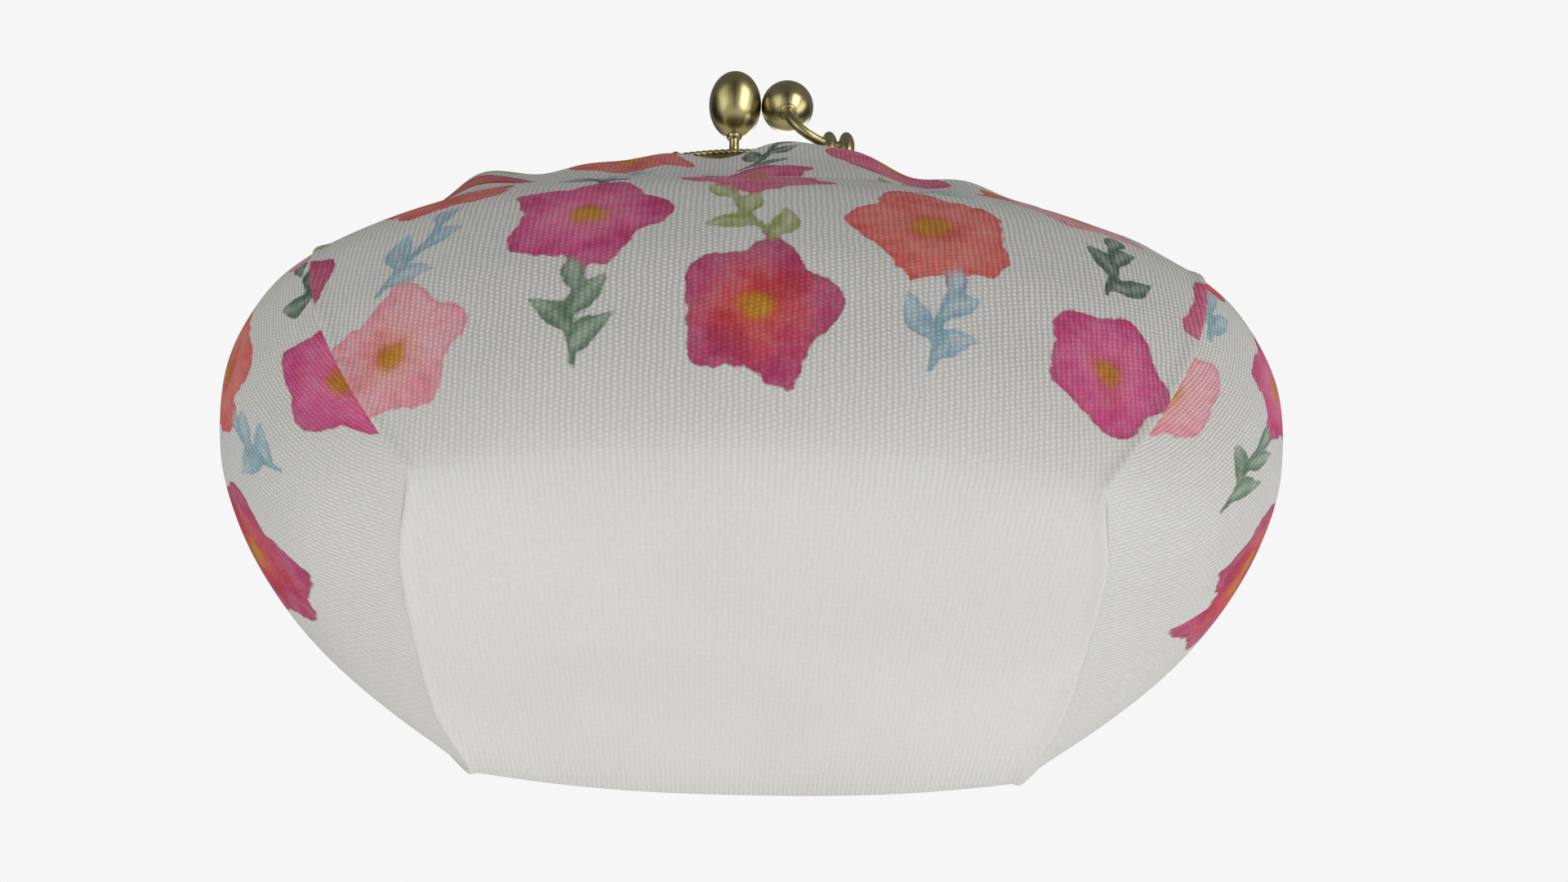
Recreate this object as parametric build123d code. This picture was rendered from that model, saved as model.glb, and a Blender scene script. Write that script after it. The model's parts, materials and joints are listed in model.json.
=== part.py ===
from build123d import *
import math
import os

# Kiss-lock coin purse, millimetres, +Z up.  Origin: middle of the flat base.
# X runs from hinge to hinge, the front of the purse faces -Y.

# ---- driving dimensions ------------------------------------------------------
CLOTH = 0.9                 # outer canvas with its interlining
LINING = 0.5                # lining cloth
LINING_GAP = 0.3            # air between outer canvas and lining
BOARD = 1.2                 # stiffener board under the lining
BOARD_GAP = 0.1
HINGE_Z = 43.2              # height of the hinge axis
FRAME_RADIUS = 43.5         # outside radius of the arched channels
CHANNEL_WIDTH = 5.0         # radial width of a channel
CHANNEL_DEPTH = 3.8         # front-to-back depth of a channel
CHANNEL_WALL = 0.5          # sheet thickness of a channel
FRAME_GAP = 0.4             # from the middle plane to each channel
CHANNEL_START = 5.5         # degrees of arch left open above each hinge
CORD_RADIUS = 0.95          # paper cord crimped inside a channel
CORD_SETBACK = 6.0          # degrees from a channel end to the end of its cord
EAR_RADIUS = 3.2            # hinge ear
EAR_THICKNESS = 0.6
EAR_INNER_X = 41.9          # inside face of the inner ear of each hinge
EAR_OUTER_X = 42.7          # inside face of the outer ear of each hinge
EAR_TAB = 6.5               # height of the tab that joins an ear to its channel
PIN_RADIUS = 1.0
PIN_CLEARANCE = 0.05
RIVET_HEAD_RADIUS = 1.9
RIVET_HEAD = 0.7
RIVET_GAP = 0.2             # end play between an ear and a rivet head
HEAD_CHAMFER = 0.35         # cut on the rim of an outer rivet head
BALL_RADIUS = 4.0           # half of a clasp ball's short axis
BALL_HALF_LENGTH = 5.5
BALL_X = 4.1                # sideways offset of a ball's centre
BALL_Z = 104.0
BALL_TILT = 28.0            # lean of a ball over its opposite frame, degrees
ARM_RADIUS = 0.75
ARM_BEND = 2.0              # inside radius of the arm's bend
KNEE_DROP = 3.4             # length of arm along the ball's axis before the bend
KNEE_X = 0.9                # sideways and forward offsets of the bend
KNEE_Y = 1.6
FOOT_GAP = 0.2              # from a ball's tip to the start of its arm
COLLAR_WIRE = 0.4           # thickness and clearance of the ring where an arm enters a ball
COLLAR_OFFSET = 0.45
BEAD_RADIUS = 1.3           # foot beads that hold the clasp arm
BEAD_HALF_HEIGHT = 2.9
POST_RADIUS = 0.7           # post under a foot bead
BEAD_Z = 90.6
BEAD_XS = (10.3, 12.9)
BODY_SPLIT_Z = 41.0         # cloth above this height follows the frames
BODY_SPLIT_GAP = 0.3
KEEPOUT = 0.3               # air between the upper cloth and a channel
EAR_KEEPOUT = 3.0           # air around the ends of the frame
BOARD_SETBACK = 2.0         # from the rim of the base to the edge of the board
CORD_DEPTH = 0.5            # from the web of a channel to its cord
MOUTH_CUT = 5.0             # how far the hollow form reaches past the top of the cloth
OUTLINE_POINTS = 28         # points on each level section
SQUARENESS = 2.35           # superellipse power of the bag's level sections

# level sections of the bag, from the base to the channels: height, half width, half depth
SECTIONS = (
    (0.0, 35.5, 29.5),
    (3.0, 41.0, 33.8),
    (8.0, 49.0, 37.8),
    (15.0, 57.0, 40.6),
    (23.0, 62.5, 42.0),
    (31.0, 63.8, 40.0),
    (37.0, 62.4, 35.2),
    (43.0, 57.0, 30.6),
    (49.0, 51.5, 26.2),
    (56.0, 47.5, 21.6),
    (63.0, 43.0, 17.6),
    (69.5, 36.5, 14.4),
    (76.0, 28.5, 11.8),
    (80.5, 20.0, 9.0),
)

# side seams between the main panel and the gussets: half width at each height
SEAM = ((-1.0, 33.0), (7.0, 38.6), (17.0, 43.5), (29.0, 48.0), (37.0, 49.5), (43.0, 46.5))

FRAME_Y = -(FRAME_GAP + CHANNEL_DEPTH / 2)      # middle of the front channel
TALL = 200.0                                    # larger than the whole purse

os.makedirs("parts", exist_ok=True)


def level_section(height, half_x, half_y):
    """Closed superellipse on a level plane."""
    points = []
    for i in range(OUTLINE_POINTS):
        turn = 2 * math.pi * i / OUTLINE_POINTS
        c, s = math.cos(turn), math.sin(turn)
        x = half_x * math.copysign(abs(c) ** (2 / SQUARENESS), c)
        y = half_y * math.copysign(abs(s) ** (2 / SQUARENESS), s)
        points.append((x, y, height))
    return Face(Wire([Edge.make_spline([Vector(*p) for p in points], periodic=True)]))


def bag_form(inset, floor, top_extra=0.0):
    """Solid bag form, inset from the outside by a wall, standing on a raised floor."""
    levels = []
    for height, half_x, half_y in SECTIONS:
        raised = max(height, floor) if height == 0.0 else height
        levels.append(level_section(raised, half_x - inset, half_y - inset))
    form = loft(levels)
    if top_extra:
        height, half_x, half_y = SECTIONS[-1]
        neck = level_section(height, half_x - inset, half_y - inset)
        form = form + extrude(neck, amount=top_extra, dir=(0, 0, 1))
    return form


def slab(low, high, front=-TALL, back=TALL):
    """Box that keeps everything between two heights and two depths."""
    block = Box(TALL, back - front, high - low)
    return Pos(0, (front + back) / 2, (low + high) / 2) * block


def front_to_back(shape):
    """The frames and clasps are the same part twice, turned half a turn about Z."""
    return Rotation(0, 0, 180) * shape


def arch(section, start):
    """Turn a section drawn as (radius, depth from the middle plane) into the front arch."""
    ring = revolve(section, Axis.Z, revolution_arc=180 - 2 * start)
    return Pos(0, 0, HINGE_Z) * Rotation(90, 0, 0) * Rotation(0, 0, start) * ring


def section_box(r_low, r_high, d_low, d_high):
    """Rectangle in the (radius, depth) plane of the arch."""
    sketch = Rectangle(r_high - r_low, d_high - d_low)
    return Plane.XZ * Pos((r_low + r_high) / 2, (d_low + d_high) / 2) * sketch


# ---- soft goods --------------------------------------------------------------
def cloth_shell():
    return bag_form(0.0, 0.0) - bag_form(CLOTH, CLOTH, top_extra=MOUTH_CUT)


def lining_shell():
    outer = CLOTH + LINING_GAP
    floor = CLOTH + 2 * BOARD_GAP + BOARD
    return bag_form(outer, floor) - bag_form(outer + LINING, floor + LINING, top_extra=MOUTH_CUT)


def frame_keepout():
    """Room left in the upper cloth for both channels."""
    inner = FRAME_RADIUS - CHANNEL_WIDTH - KEEPOUT
    depth = FRAME_GAP + CHANNEL_DEPTH + KEEPOUT
    ring = Cylinder(FRAME_RADIUS + KEEPOUT, 2 * depth) - Cylinder(inner, 2 * depth)
    side = 2 * EAR_RADIUS + 2
    arms = Box(2 * (FRAME_RADIUS + EAR_KEEPOUT), side, side)
    hollow = Box(2 * (EAR_INNER_X - EAR_KEEPOUT), TALL, TALL)
    return Pos(0, 0, HINGE_Z) * (Rotation(90, 0, 0) * ring + (arms - hollow))


def seam_wedge():
    """Everything between the two side seams, seen from the front."""
    right = [(x, z) for z, x in SEAM]
    left = [(-x, z) for z, x in reversed(SEAM)]
    edges = [
        Spline(*right),
        Line(right[-1], left[0]),
        Spline(*left),
        Line(left[-1], right[0]),
    ]
    outline = make_face(Curve() + edges)
    return extrude(Plane.XZ * outline, amount=TALL / 2, both=True)


def soft_parts():
    """Main panel, gussets, linings and the upper cloth of both frames."""
    parts = {}
    cloth = cloth_shell()
    lining = lining_shell()
    lower = cloth & slab(-1.0, BODY_SPLIT_Z)
    base = lower & slab(-1.0, CLOTH)
    walls = lower - slab(-1.0, CLOTH)
    wedge = seam_wedge()
    parts["main_panel"] = (walls & wedge) + base
    sides = walls - wedge
    for solid in sides.solids():
        side = "left" if solid.center().X < 0 else "right"
        parts["gusset_" + side] = solid
    parts["lining"] = lining & slab(-1.0, BODY_SPLIT_Z)
    keepout = frame_keepout()
    upper_low = BODY_SPLIT_Z + BODY_SPLIT_GAP
    for name, shell in (("panel_top", cloth), ("lining_top", lining)):
        front = (shell & slab(upper_low, TALL, back=-FRAME_GAP)) - keepout
        solid = max(front.solids(), key=lambda piece: piece.volume)
        parts["front_" + name] = solid
        parts["back_" + name] = front_to_back(solid)
    height, half_x, half_y = SECTIONS[0]
    board = level_section(height, half_x - BOARD_SETBACK, half_y - BOARD_SETBACK)
    parts["base_board"] = Pos(0, 0, CLOTH + BOARD_GAP) * extrude(board, amount=BOARD, dir=(0, 0, 1))
    return parts


# ---- frame -------------------------------------------------------------------
def channel():
    """Folded sheet channel, open towards the hinge line, with an ear at each end."""
    near = FRAME_GAP
    far = FRAME_GAP + CHANNEL_DEPTH
    inner = FRAME_RADIUS - CHANNEL_WIDTH
    outside = section_box(inner, FRAME_RADIUS, near, far)
    slot = section_box(inner - 1, FRAME_RADIUS - CHANNEL_WALL, near + CHANNEL_WALL, far - CHANNEL_WALL)
    body = arch(outside - slot, CHANNEL_START)
    for x in (EAR_INNER_X, -EAR_OUTER_X - EAR_THICKNESS):
        body = body + ear(x)
    return body


def ear(x):
    """Ear plate with its rivet hole and the tab that joins it to the channel."""
    plate = Pos(x + EAR_THICKNESS / 2, 0, HINGE_Z) * Rotation(0, 90, 0) * Cylinder(EAR_RADIUS, EAR_THICKNESS)
    tab = Box(EAR_THICKNESS, CHANNEL_DEPTH, EAR_TAB)
    tab = Pos(x + EAR_THICKNESS / 2, FRAME_Y, HINGE_Z + EAR_TAB / 2) * tab
    hole = Cylinder(PIN_RADIUS + PIN_CLEARANCE, 4 * EAR_THICKNESS)
    hole = Pos(x + EAR_THICKNESS / 2, 0, HINGE_Z) * Rotation(0, 90, 0) * hole
    return plate + tab - hole


def paper_cord():
    """Twisted paper cord that wedges the cloth into a channel."""
    ring_radius = FRAME_RADIUS - CHANNEL_WALL - CORD_RADIUS - CORD_DEPTH
    circle = Plane.XZ * Pos(ring_radius, -FRAME_Y) * Circle(CORD_RADIUS)
    return arch(circle, CHANNEL_START + CORD_SETBACK)


def rivet(side):
    """Hinge rivet through an inner and an outer ear; side is -1 left, +1 right."""
    inner_x = EAR_INNER_X - RIVET_GAP
    outer_x = EAR_OUTER_X + EAR_THICKNESS + RIVET_GAP
    length = outer_x - inner_x + 2 * RIVET_GAP
    pin = Pos((inner_x + outer_x) / 2, 0, 0) * Rotation(0, 90, 0) * Cylinder(PIN_RADIUS, length)
    head = Rotation(0, 90, 0) * Cylinder(RIVET_HEAD_RADIUS, RIVET_HEAD)
    inner_head = Pos(inner_x - RIVET_HEAD / 2, 0, 0) * head
    dome = head - Pos(RIVET_HEAD / 2, 0, 0) * Rotation(0, 90, 0) * ring_chamfer()
    outer_head = Pos(outer_x + RIVET_HEAD / 2, 0, 0) * dome
    whole = pin + inner_head + outer_head
    turned = whole if side > 0 else Rotation(0, 0, 180) * whole
    return Pos(0, 0, HINGE_Z) * turned


def ring_chamfer():
    """Ring that takes the sharp rim off a rivet head."""
    height = 2 * HEAD_CHAMFER
    cone = Cone(RIVET_HEAD_RADIUS + HEAD_CHAMFER, RIVET_HEAD_RADIUS - HEAD_CHAMFER, height)
    return Cylinder(RIVET_HEAD_RADIUS + height, height) - cone


# ---- clasp -------------------------------------------------------------------
def spheroid(radius, half_length):
    """Spheroid about Z, from a half ellipse turned about its long axis."""
    ellipse = Plane.XZ * Ellipse(radius, half_length)
    half = ellipse & (Plane.XZ * Pos(radius, 0) * Rectangle(2 * radius, 4 * half_length))
    return revolve(half, Axis.Z)


def ball_place():
    return Pos(BALL_X, 0, BALL_Z) * Rotation(-BALL_TILT, 0, 0)


def clasp_ball():
    return ball_place() * spheroid(BALL_RADIUS, BALL_HALF_LENGTH)


def ball_foot():
    """Point under a ball's lower tip, on its long axis."""
    lean = math.radians(BALL_TILT)
    reach = BALL_HALF_LENGTH + FOOT_GAP
    return Vector(BALL_X, -reach * math.sin(lean), BALL_Z - reach * math.cos(lean))


def ball_collar():
    """Small ring around the arm where it enters the ball."""
    ring = Torus(ARM_RADIUS + COLLAR_OFFSET, COLLAR_WIRE)
    return Pos(*ball_foot()) * Rotation(-BALL_TILT, 0, 0) * ring


def clasp_arm():
    """Bent wire from the ball down to the first foot bead."""
    lean = math.radians(BALL_TILT)
    start = ball_foot()
    knee_y = max(start.Y - KNEE_DROP * math.sin(lean), FRAME_Y - KNEE_Y)
    knee = Vector(BALL_X + KNEE_X, knee_y, start.Z - KNEE_DROP * math.cos(lean))
    end = Vector(BEAD_XS[0], FRAME_Y, BEAD_Z)
    path = FilletPolyline(start, knee, end, radius=ARM_BEND)
    return sweep(Plane(path @ 0, z_dir=path % 0) * Circle(ARM_RADIUS), path=path)


def clasp_foot():
    """Two beads side by side with posts riveted into the top of the channel."""
    beads = []
    for x in BEAD_XS:
        crown = HINGE_Z + math.sqrt(FRAME_RADIUS ** 2 - x ** 2)
        post_low = crown - CHANNEL_WALL
        post = Cylinder(POST_RADIUS, BEAD_Z - post_low)
        post = Pos(x, FRAME_Y, (BEAD_Z + post_low) / 2) * post
        bead = Pos(x, FRAME_Y, BEAD_Z) * spheroid(BEAD_RADIUS, BEAD_HALF_HEIGHT)
        beads.append(bead + post)
    return beads


def metal_parts():
    parts = {"hinge_rivet_left": rivet(-1), "hinge_rivet_right": rivet(1)}
    arm = clasp_arm()
    ball = clasp_ball()
    collar = ball_collar() - ball - arm
    foot = [bead - arm for bead in clasp_foot()]
    body = channel()
    for bead in foot:
        body = body - bead
    front = {
        "frame_channel": body,
        "paper_cord": paper_cord(),
        "clasp_ball": ball,
        "clasp_collar": collar,
        "clasp_arm": arm - ball,
        "clasp_foot_beads": Compound(children=[bead.solids()[0] for bead in foot]),
    }
    for name, shape in front.items():
        parts["front_" + name] = shape
        parts["back_" + name] = front_to_back(shape)
    return parts


for node, shape in {**soft_parts(), **metal_parts()}.items():
    export_step(shape, "parts/" + node + ".step")
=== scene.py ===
import json
import math
import bmesh
import bpy
import numpy as np
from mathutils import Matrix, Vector


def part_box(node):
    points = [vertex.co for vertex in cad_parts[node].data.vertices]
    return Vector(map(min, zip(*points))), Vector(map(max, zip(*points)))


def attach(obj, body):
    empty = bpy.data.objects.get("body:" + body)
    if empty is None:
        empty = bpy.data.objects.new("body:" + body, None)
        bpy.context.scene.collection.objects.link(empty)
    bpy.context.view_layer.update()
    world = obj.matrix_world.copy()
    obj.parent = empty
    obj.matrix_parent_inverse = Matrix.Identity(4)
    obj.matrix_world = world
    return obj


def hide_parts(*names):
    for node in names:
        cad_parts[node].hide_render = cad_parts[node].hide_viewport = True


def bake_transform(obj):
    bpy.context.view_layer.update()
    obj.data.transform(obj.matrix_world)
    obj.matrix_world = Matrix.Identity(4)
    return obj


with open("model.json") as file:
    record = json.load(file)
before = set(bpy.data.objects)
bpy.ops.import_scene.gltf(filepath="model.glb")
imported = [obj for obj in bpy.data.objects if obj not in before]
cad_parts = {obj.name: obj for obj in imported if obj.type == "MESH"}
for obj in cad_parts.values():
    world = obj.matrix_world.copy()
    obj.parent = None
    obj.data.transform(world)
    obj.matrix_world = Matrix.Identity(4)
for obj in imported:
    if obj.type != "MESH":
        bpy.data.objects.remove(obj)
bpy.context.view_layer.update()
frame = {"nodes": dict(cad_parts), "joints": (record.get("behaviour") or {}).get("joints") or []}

MM = 0.001

# ---- places taken from the frame -----------------------------------------------
FRONT_HINGE = next(j for j in frame["joints"] if j["name"] == "front_hinge")
HINGE_Z = FRONT_HINGE["pos_m"][2] / MM
CHANNEL_LOW, CHANNEL_HIGH = [[c / MM for c in corner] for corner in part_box("front_frame_channel")]
BAG_LOW = [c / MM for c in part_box("main_panel")[0]]
GUSSET_HIGH = [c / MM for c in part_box("gusset_right")[1]]
BELLY_Y = -BAG_LOW[1]                       # half depth of the bag
BELLY_X = GUSSET_HIGH[0]                    # half width of the bag
CHANNEL_Y = (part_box("front_paper_cord")[0][1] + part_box("front_paper_cord")[1][1]) / 2 / MM
MOUTH_RADIUS = CHANNEL_HIGH[2] - HINGE_Z - 6.2

# Level rows of the sewn bag in millimetres, from the frame channel to the middle of the base:
# half width, height and depth at the side seam; depth and height at the middle; sweep of the
# row's arch in degrees; how late the arch falls; roundness; half width and height at the
# middle of the gusset.
ROWS = (
    (MOUTH_RADIUS + 2.6, HINGE_Z + 3.0, 2.3, 2.3, HINGE_Z + MOUTH_RADIUS + 2.6, 86, 1.0, 2.0, 38.5, 41.6),
    (MOUTH_RADIUS + 0.2, HINGE_Z + 2.0, 3.6, 3.2, HINGE_Z + MOUTH_RADIUS - 0.3, 86, 1.0, 2.0, 40.5, 41.0),
    (MOUTH_RADIUS + 2.4, HINGE_Z + 0.5, 6.0, 6.4, HINGE_Z + MOUTH_RADIUS - 0.9, 84, 1.05, 2.0, 41.5, 40.2),
    (46.5, 42.2, 9.5, 11.0, 77.2, 80, 1.12, 2.4, 46.0, 40.2),
    (49.8, 41.0, 15.0, 14.5, 69.0, 74, 1.55, 3.0, 51.5, 40.6),
    (50.8, 38.4, 21.0, 22.0, 56.5, 62, 1.4, 3.0, 57.4, 39.6),
    (49.4, 34.0, 27.0, 34.0, 40.5, 40, 1.2, 2.8, 61.8, 36.6),
    (48.0, 26.5, 31.0, BELLY_Y - 1.2, 28.8, 25, 1.0, 2.6, BELLY_X, 29.6),
    (45.2, 17.6, 31.9, BELLY_Y, 19.5, 20, 1.0, 2.6, 62.2, 21.0),
    (41.3, 10.2, 31.0, 39.6, 10.6, 20, 1.0, 2.6, 56.8, 12.0),
    (37.2, 4.4, 29.6, 35.6, 3.9, 20, 1.0, 2.6, 49.0, 5.2),
    (34.0, 0.6, 27.4, 31.2, 0.5, 20, 1.0, 2.4, 37.2, 0.6),
    (36.5, 0.5, 14.0, 16.0, 0.2, 20, 1.0, 2.4, 37.2, 0.6),
    (37.2, 0.5, 0.0, 0.0, 0.2, 20, 1.0, 2.4, 37.2, 0.6),
)
GUSSET_ROWS = 12                            # rows from the frame down to the base rim
SIDE_X, SIDE_Z, SIDE_Y, MID_Y, MID_Z, SWEEP, LATE, ROUND, GUSSET_X, GUSSET_Z = range(10)


# ---- geometry helpers ------------------------------------------------------------
def smooth(low, high, value):
    """Smooth step from 0 at low to 1 at high."""
    t = np.clip((value - low) / (high - low), 0.0, 1.0)
    return t * t * (3.0 - 2.0 * t)


def row_knots():
    """Length along the middle of the panel at each row, from the base middle up."""
    table = np.array(ROWS)
    middle = table[:, [MID_Y, MID_Z]]
    steps = np.linalg.norm(np.diff(middle, axis=0), axis=1)
    return np.concatenate([[0.0], np.cumsum(steps[::-1])])[::-1]


KNOTS = row_knots()


def even_rate(before, after):
    """Slope at a knot that never overshoots: harmonic mean of the rates beside it."""
    product = before * after
    total = np.where(product > 0, before + after, 1.0)
    return np.where(product > 0, 2 * product / total, 0.0)


def at_level(column, level):
    """Value of one column of ROWS at lengths along the panel, by smooth interpolation."""
    knots = KNOTS[::-1]
    values = np.array([row[column] for row in ROWS], float)[::-1]
    rates = np.diff(values) / np.diff(knots)
    slopes = np.concatenate([rates[:1], even_rate(rates[:-1], rates[1:]), rates[-1:]])
    slot = np.clip(np.searchsorted(knots, level, side="right") - 1, 0, len(knots) - 2)
    span = knots[slot + 1] - knots[slot]
    t = (level - knots[slot]) / span
    h00 = (1 + 2 * t) * (1 - t) ** 2
    h10 = t * (1 - t) ** 2
    h01 = t * t * (3 - 2 * t)
    h11 = t * t * (t - 1)
    ends = h00 * values[slot] + h01 * values[slot + 1]
    return ends + span * (h10 * slopes[slot] + h11 * slopes[slot + 1])


def panel_point(s, level):
    """Front panel in millimetres; s runs from -1 at the left seam to 1 at the right seam."""
    sweep = np.radians(at_level(SWEEP, level))
    power = at_level(ROUND, level)
    fall = ((1 - np.cos(sweep * s)) / (1 - np.cos(sweep))) ** at_level(LATE, level)
    x = at_level(SIDE_X, level) * np.sin(sweep * s) / np.sin(sweep)
    mid_z = at_level(MID_Z, level)
    z = mid_z + (at_level(SIDE_Z, level) - mid_z) * fall
    mid_y = at_level(MID_Y, level)
    y = mid_y + (at_level(SIDE_Y, level) - mid_y) * np.abs(s) ** power
    return np.stack([x, -y, z], axis=-1)


def gusset_point(w, level):
    """Right gusset in millimetres; w runs from -1 at the front seam to 1 at the back seam."""
    side_x = at_level(SIDE_X, level)
    mid_x = at_level(GUSSET_X, level)
    side_z = at_level(SIDE_Z, level)
    mid_z = at_level(GUSSET_Z, level)
    bow = np.abs(w) ** 2.3
    x = mid_x + (side_x - mid_x) * bow
    z = mid_z + (side_z - mid_z) * bow
    return np.stack([x, w * at_level(SIDE_Y, level), z], axis=-1)


def grid_normals(points):
    """Unit normals of a grid of points."""
    across = np.gradient(points, axis=1)
    along = np.gradient(points, axis=0)
    normals = np.cross(across, along)
    return normals / np.maximum(np.linalg.norm(normals, axis=-1, keepdims=True), 1e-9)


def run_length(points, axis, zero):
    """Distance along a grid's rows or columns, counted from index zero."""
    steps = np.linalg.norm(np.diff(points, axis=axis), axis=-1)
    first = np.zeros_like(np.take(steps, [0], axis=axis))
    length = np.concatenate([first, np.cumsum(steps, axis=axis)], axis=axis)
    return length - np.take(length, [zero], axis=axis)


def grid_mesh(name, points, attributes=None):
    """Mesh object from a grid of millimetre points, with float or vector point attributes."""
    rows, columns = points.shape[:2]
    index = np.arange(rows * columns).reshape(rows, columns)
    corners = [index[:-1, :-1], index[:-1, 1:], index[1:, 1:], index[1:, :-1]]
    faces = np.stack(corners, axis=-1).reshape(-1, 4)
    mesh = bpy.data.meshes.new(name)
    mesh.from_pydata((points.reshape(-1, 3) * MM).tolist(), [], faces.tolist())
    for key, values in (attributes or {}).items():
        kind = "FLOAT" if values.ndim == 2 else "FLOAT_VECTOR"
        field = "value" if values.ndim == 2 else "vector"
        layer = mesh.attributes.new(key, kind, "POINT")
        layer.data.foreach_set(field, values.astype(np.float32).ravel())
    mesh.shade_smooth()
    piece = bpy.data.objects.new(name, mesh)
    bpy.context.scene.collection.objects.link(piece)
    return piece


# ---- the sewn bag ----------------------------------------------------------------
CLOTH_STEP = 0.6            # spacing of the cloth meshes, millimetres
PANEL_HALF_WIDTH = 56.0     # longest half row of the panel
SEAM_FOLD = 0.9             # width of the turned edge along a seam
SEAM_RISE = 0.35            # how far the turned edge stands off the gusset


def gathers(s, level):
    """Folds that the crimped cloth makes under the channels, in millimetres outwards."""
    top = KNOTS[0]
    near = smooth(top - 62.0, top - 12.0, level) * (1.0 - smooth(top - 8.0, top - 1.0, level))
    wave = (
        0.9 * np.sin(9.0 * s + 0.6)
        + 0.7 * np.sin(17.0 * s + 3.6 + 0.02 * level)
        + 0.35 * np.sin(31.0 * s + 0.9)
    )
    crease = np.exp(-((level - 92.0 - 10.0 * s) / 4.5) ** 2 - ((s - 0.1) / 0.45) ** 2)
    return near * wave - 1.4 * crease


def seam_weight(s):
    """1 at a side seam, falling to 0 within the turned edge."""
    return smooth(1.0 - 2.2 * SEAM_FOLD / PANEL_HALF_WIDTH, 1.0, np.abs(s))


def panel_grid(inset=0.0, step=CLOTH_STEP):
    """Front panel from the middle of the base to the channel: points, s, level and cloth width."""
    rows = int(KNOTS[0] / step)
    columns = int(2 * PANEL_HALF_WIDTH / step) | 1
    s, level = np.meshgrid(np.linspace(-1, 1, columns), np.linspace(0, KNOTS[0], rows))
    points = panel_point(s, level)
    width = run_length(points, 1, columns // 2)
    rise = gathers(s, level) + SEAM_RISE * seam_weight(s) * smooth(2.0, 8.0, level)
    points = points + grid_normals(points) * (rise - inset)[..., None]
    return points, s, level, width


def gusset_folds(w, level):
    """Soft folds where a gusset is pinched under its hinge, in millimetres outwards."""
    top = KNOTS[0]
    near = smooth(top - 74.0, top - 34.0, level) * (1.0 - smooth(top - 14.0, top - 4.0, level))
    edge = 1.0 - np.abs(w) ** 4
    return near * edge * (1.1 * np.cos(7.0 * w + 0.5) + 0.5 * np.cos(15.0 * w))


def gusset_grid(low_w=-1.0, high_w=1.0, inset=0.0, step=CLOTH_STEP):
    """Right gusset from the base rim to the hinge: points, w, level and cloth width."""
    low = KNOTS[GUSSET_ROWS - 1]
    rows = int((KNOTS[0] - low) / step)
    columns = int(42.0 * (high_w - low_w) / step) | 1
    w, level = np.meshgrid(np.linspace(low_w, high_w, columns), np.linspace(low, KNOTS[0], rows))
    points = gusset_point(w, level)
    zero = int(np.argmin(np.abs(w[0])))
    width = run_length(points, 1, zero)
    points = points + grid_normals(points) * (gusset_folds(w, level) - inset)[..., None]
    return points, w, level, width


def base_hem(points):
    """Adds the row of a gusset that turns in under the rim of the base."""
    inward = points[:1] * np.array([-1.2 / BELLY_X, 0.0, 0.0]) + np.array([0.0, 0.0, 0.5])
    return np.concatenate([points[:1] + inward, points], axis=0)


def rolled_edge(points, side, turns=(0.25, 0.8)):
    """Adds the turned-under edge of a seam to one side of a grid of points."""
    normals = grid_normals(points)
    edge = points[:, [0 if side < 0 else -1]]
    inner = points[:, [1 if side < 0 else -2]]
    normal = normals[:, [0 if side < 0 else -1]]
    out = edge - inner
    out = out / np.maximum(np.linalg.norm(out, axis=-1, keepdims=True), 1e-9)
    columns = [edge + 0.18 * out - turns[0] * normal, edge - turns[1] * normal]
    if side < 0:
        return np.concatenate(columns[::-1] + [points], axis=1)
    return np.concatenate([points] + columns, axis=1)


def pad_columns(values, count, side):
    """Repeats a grid's outer column beside itself, to match a rolled edge."""
    widths = [(0, 0), (count, 0) if side < 0 else (0, count)] + [(0, 0)] * (values.ndim - 2)
    return np.pad(values, widths, mode="edge")


def half_turn(points):
    """The back of the purse is its front, turned half a turn about Z."""
    return points * np.array([-1.0, -1.0, 1.0])


# ---- the printed pattern -----------------------------------------------------------
# A plain repeat in which round flowers and leaf sprigs take turns, like the squares of a
# chessboard, in millimetres on the cloth: across from the middle of the piece, and up from the
# middle of the base. The base stays white.
REPEAT_ACROSS = 18.0        # from one column of the repeat to the next
REPEAT_UP = 14.0            # from one row of the repeat to the next
REPEAT_LOW = 45.0           # lowest row of the repeat
REPEAT_COLUMNS = range(-4, 5)
REPEAT_ROWS = range(7)
OFF_PLACE = 1.2             # how far a flower or a sprig may be off its place
PETALS = 5
FLOWER_REACH = (7.6, 9.2)   # shortest and longest petal
SPRIG_HALF = 5.0            # half the height of a sprig
SPRIG_LEAVES = ((0.15, 48, 0.9), (0.40, -48, 0.9), (0.65, 40, 0.8), (1.0, 0, 0.8))
FLOWERS = (                 # tint of the petals, and of the stain round the heart
    ("crimson", "scarlet"),
    ("blush", "coral"),
    ("rose", "magenta"),
    ("coral", "crimson"),
    ("magenta", "rose"),
)
SPRIGS = ("forest", "olive", "sky", "fern", "mist")
WHITE = (0.80, 0.785, 0.755)
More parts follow.
